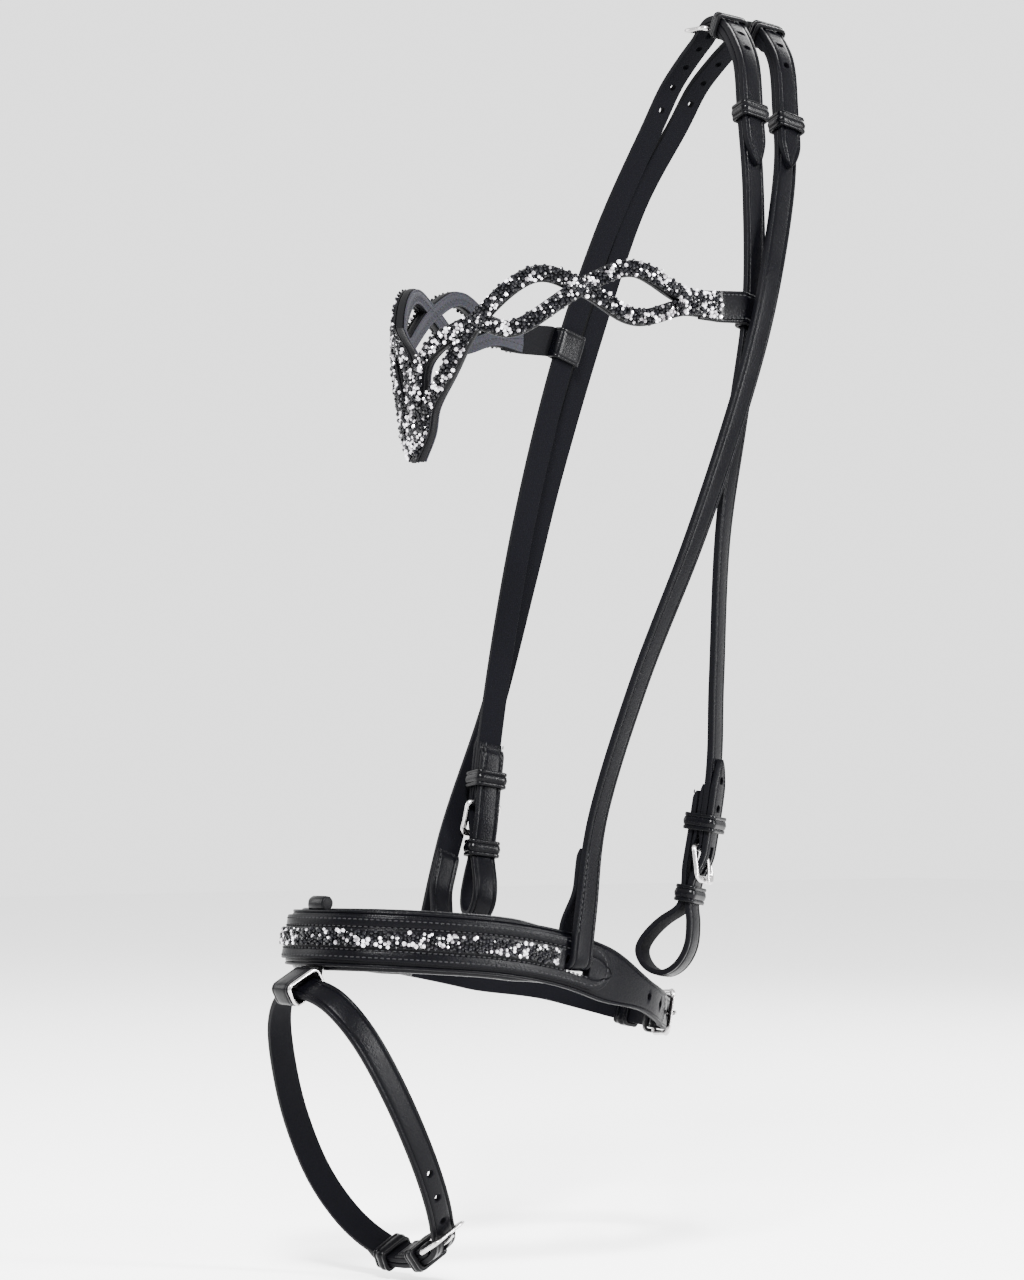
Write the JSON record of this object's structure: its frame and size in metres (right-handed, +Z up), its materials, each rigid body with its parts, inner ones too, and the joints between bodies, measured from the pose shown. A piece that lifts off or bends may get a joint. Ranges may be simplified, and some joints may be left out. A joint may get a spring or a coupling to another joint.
{
  "type": "snaffle bridle",
  "caption": "Black leather snaffle bridle with wavy stone-set browband, padded stone-set noseband and flash strap, buckled at crown, bit ends, chin and jaw, without bit or reins.",
  "frame": {"origin": "at the poll, where the bridle is hung up: under the middle of the front head strap", "axes": "+Z up, -Y towards the horse's nose, +X towards the horse's near (left) side"},
  "size_m": [0.1948, 0.3438, 0.697],
  "materials": {
    "black_leather": "oiled black leather, satin, smooth grain side",
    "lining_leather": "matte dark grey lining leather",
    "padding_leather": "soft black padding leather, satin",
    "stainless_steel": "polished stainless steel",
    "black_stones": "faceted jet and clear stones set close together"
  },
  "bodies": {
    "headstall": {"cheek_headstrap": "black_leather", "noseband_headstrap": "black_leather", "near_cheekpiece": "black_leather", "near_noseband_hanger": "black_leather", "near_bit_billet": "black_leather", "far_bit_billet": "black_leather", "crown_front_buckle": "stainless_steel", "crown_rear_buckle": "stainless_steel", "near_bit_buckle": "stainless_steel", "far_bit_buckle": "stainless_steel", "crown_front_keeper": "black_leather", "crown_rear_keeper": "black_leather", "near_bit_keeper": "black_leather", "far_bit_keeper": "black_leather"},
    "browband": {"browband_base": "black_leather", "browband_crystals": "black_stones", "browband_lining": "lining_leather", "near_browband_loop": "black_leather", "far_browband_loop": "black_leather"},
    "noseband": {"noseband_strap": "black_leather", "noseband_overlay": "black_leather", "noseband_crystals": "black_stones", "noseband_padding": "padding_leather", "chin_buckle": "stainless_steel", "chin_keeper": "black_leather", "flash_tab": "black_leather", "flash_wire_ring": "stainless_steel"},
    "flash": {"flash_strap": "black_leather", "flash_buckle": "stainless_steel", "flash_keeper": "black_leather"},
    "crown_front_tongue": {"crown_front_tongue": "stainless_steel"},
    "crown_front_runner": {"crown_front_runner": "black_leather"},
    "crown_rear_tongue": {"crown_rear_tongue": "stainless_steel"},
    "crown_rear_runner": {"crown_rear_runner": "black_leather"},
    "near_bit_tongue": {"near_bit_tongue": "stainless_steel"},
    "near_bit_runner": {"near_bit_runner": "black_leather"},
    "far_bit_tongue": {"far_bit_tongue": "stainless_steel"},
    "far_bit_runner": {"far_bit_runner": "black_leather"},
    "chin_tongue": {"chin_tongue": "stainless_steel"},
    "chin_runner": {"chin_runner": "black_leather"},
    "flash_tongue": {"flash_tongue": "stainless_steel"},
    "flash_runner": {"flash_runner": "black_leather"}
  },
  "joints": [
    {"name": "browband_slide", "type": "slide", "parent": "headstall", "child": "browband", "axis": [0, -0.2402, -0.9707], "range_m": [-0.002, 0.003]},
    {"name": "noseband_tilt", "type": "hinge", "parent": "headstall", "child": "noseband", "pos_m": [0, -0.168, -0.523], "axis": [1, 0, 0], "range_deg": [-6, 3]},
    {"name": "flash_tilt", "type": "hinge", "parent": "noseband", "child": "flash", "pos_m": [0.00518, -0.3035, -0.5335], "axis": [1, 0, 0], "range_deg": [-10, 10]},
    {"name": "crown_front_tongue_hinge", "type": "hinge", "parent": "headstall", "child": "crown_front_tongue", "pos_m": [-0.00006, -0.01, 0.0007], "axis": [0.2603, 0.9655, -0.0118], "range_deg": [0, 8]},
    {"name": "crown_rear_tongue_hinge", "type": "hinge", "parent": "headstall", "child": "crown_rear_tongue", "pos_m": [0.00637, 0.01246, -0.0004], "axis": [0.2472, 0.9666, -0.0671], "range_deg": [0, 8]},
    {"name": "near_bit_tongue_hinge", "type": "hinge", "parent": "headstall", "child": "near_bit_tongue", "pos_m": [0.06996, -0.08571, -0.4635], "axis": [0.4334, -0.8948, 0.1073], "range_deg": [0, 8]},
    {"name": "far_bit_tongue_hinge", "type": "hinge", "parent": "headstall", "child": "far_bit_tongue", "pos_m": [-0.06996, -0.12492, -0.44047], "axis": [0.226, 0.9644, -0.1377], "range_deg": [0, 8]},
    {"name": "chin_tongue_hinge", "type": "hinge", "parent": "noseband", "child": "chin_tongue", "pos_m": [0.02022, -0.07502, -0.5548], "axis": [0.0074, 0.1854, 0.9826], "range_deg": [0, 8]},
    {"name": "flash_tongue_hinge", "type": "hinge", "parent": "flash", "child": "flash_tongue", "pos_m": [0.02321, -0.22892, -0.66803], "axis": [0, 0.8746, 0.4848], "range_deg": [0, 8]},
    {"name": "crown_front_runner_slide", "type": "slide", "parent": "headstall", "child": "crown_front_runner", "axis": [0.2724, -0.1572, -0.9493], "range_m": [-0.003, 0.003]},
    {"name": "crown_rear_runner_slide", "type": "slide", "parent": "headstall", "child": "crown_rear_runner", "axis": [0.2922, -0.1887, -0.9376], "range_m": [-0.003, 0.003]},
    {"name": "near_bit_runner_slide", "type": "slide", "parent": "headstall", "child": "near_bit_runner", "axis": [0.0807, 0.1375, 0.9872], "range_m": [-0.002, 0.006]},
    {"name": "far_bit_runner_slide", "type": "slide", "parent": "headstall", "child": "far_bit_runner", "axis": [-0.0781, 0.1702, 0.9823], "range_m": [-0.002, 0.006]},
    {"name": "chin_runner_slide", "type": "slide", "parent": "noseband", "child": "chin_runner", "axis": [-0.9659, -0.2045, 0.1589], "range_m": [-0.0015, 0.0015]},
    {"name": "flash_runner_slide", "type": "slide", "parent": "flash", "child": "flash_runner", "axis": [-0.9817, -0.0923, 0.1666], "range_m": [-0.0015, 0.0015]}
  ]
}
